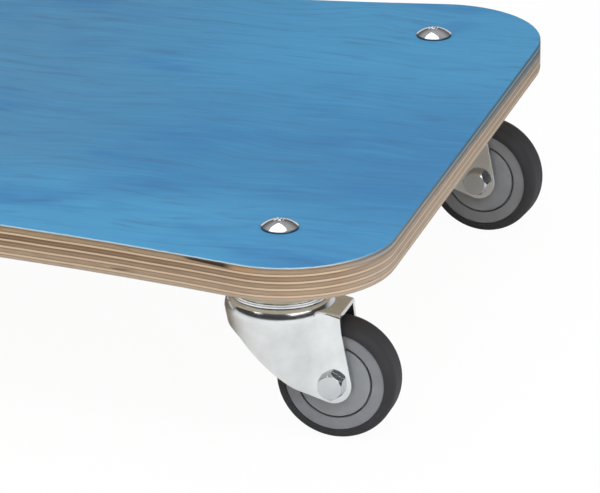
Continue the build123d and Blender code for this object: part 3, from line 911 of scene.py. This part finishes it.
def make_room(stage):
    """Room: dim low down, paler overhead, white to the eye and behind the part in reflections."""
    world = bpy.data.worlds.new("room")
    bpy.context.scene.world = world
    world.use_nodes = True
    tree = world.node_tree
    tree.nodes.clear()
    way = put(tree, "ShaderNodeTexCoord").outputs["Generated"]
    rise = axes(tree, way)["Z"]
    room = ranged(tree, rise, *ROOM_RISE, stage.room_low, stage.room_high, smooth=True)
    behind = (-sin(stage.azimuth), cos(stage.azimuth), 0)
    facing = put(tree, "ShaderNodeVectorMath", {0: way, 1: behind}, operation="DOT_PRODUCT").outputs["Value"]
    backdrop = product(tree, ranged(tree, facing, *BACKDROP_ROUND), ranged(tree, rise, *BACKDROP_RISE))
    seen = put(tree, "ShaderNodeLightPath").outputs
    plain = larger(tree, seen["Is Camera Ray"], seen["Is Transmission Ray"])
    mirrored = product(tree, product(tree, seen["Is Glossy Ray"], stage.backdrop), backdrop)
    strength = larger(tree, plain, larger(tree, mirrored, room))
    back = put(tree, "ShaderNodeBackground", {"Color": (1, 1, 1, 1), "Strength": strength})
    put(tree, "ShaderNodeOutputWorld", {"Surface": back.outputs[0]})


def make_camera(stage):
    """Camera at the place and turn from which the part is pictured."""
    across = Vector((cos(stage.azimuth), sin(stage.azimuth), 0))
    back = toward(stage.azimuth, stage.elevation)
    over = back.cross(across)
    right = across * cos(stage.roll) + over * sin(stage.roll)
    top = over * cos(stage.roll) - across * sin(stage.roll)
    camera = bpy.data.objects.new("camera", bpy.data.cameras.new("camera"))
    camera.data.lens = stage.focal_length
    turn = Matrix((right, top, back)).transposed().to_4x4()
    eye = Vector((*LOOK_POINT, deck_high.z)) + back * stage.distance
    camera.matrix_world = Matrix.Translation(eye) @ turn
    bpy.context.scene.collection.objects.link(camera)
    bpy.context.scene.camera = camera


class DOLLY_OT_stage(Operator):
    """Make the floor, the room, the lights and the camera"""

    bl_idname = "dolly.stage"
    bl_label = "Stage"

    def execute(self, context):
        stage = context.scene.dolly_stage
        make_floor(stage)
        make_room(stage)
        for name, turn, rise, width, height, power in SOFT_BOXES:
            azimuth = stage.azimuth + radians(turn)
            soft_box(name, azimuth, radians(rise), width, height, getattr(stage, power))
        make_camera(stage)
        context.scene.view_settings.view_transform = "Standard"
        return {"FINISHED"}


class DOLLY_PT_panel(Panel):
    """Lists the dolly's pieces and its settings"""

    bl_label = "Dolly"
    bl_idname = "DOLLY_PT_panel"
    bl_space_type = "VIEW_3D"
    bl_region_type = "UI"
    bl_category = "Dolly"

    def draw(self, context):
        for operator in operators:
            self.layout.operator(operator.bl_idname)
        for name, group in settings.items():
            for setting in group.__annotations__:
                self.layout.prop(getattr(context.scene, name), setting)


operators = (
    DOLLY_OT_deck,
    DOLLY_OT_deck_bolts,
    DOLLY_OT_deck_nuts,
    DOLLY_OT_top_dishes,
    DOLLY_OT_forks,
    DOLLY_OT_bearings,
    DOLLY_OT_axles,
    DOLLY_OT_wheel_hubs,
    DOLLY_OT_thread_guards,
    DOLLY_OT_treads,
    DOLLY_OT_stage,
)
settings = {
    "dolly_wood": DollyWood,
    "dolly_metal": DollyMetal,
    "dolly_wheel": DollyWheel,
    "dolly_stage": DollyStage,
}


def register():
    for group in settings.values():
        bpy.utils.register_class(group)
    for name, group in settings.items():
        setattr(bpy.types.Scene, name, PointerProperty(type=group))
    for kind in (*operators, DOLLY_PT_panel):
        bpy.utils.register_class(kind)


def unregister():
    for kind in (DOLLY_PT_panel, *reversed(operators)):
        bpy.utils.unregister_class(kind)
    for name, group in settings.items():
        delattr(bpy.types.Scene, name)
        bpy.utils.unregister_class(group)


def main():
    register()
    make_handling_group()
    make_figure_group()
    bpy.ops.dolly.deck()
    bpy.ops.dolly.deck_bolts()
    bpy.ops.dolly.deck_nuts()
    bpy.ops.dolly.top_dishes()
    bpy.ops.dolly.forks()
    bpy.ops.dolly.bearings()
    bpy.ops.dolly.axles()
    bpy.ops.dolly.wheel_hubs()
    bpy.ops.dolly.thread_guards()
    bpy.ops.dolly.treads()
    bpy.ops.dolly.stage()


if __name__ == "__main__":
    main()
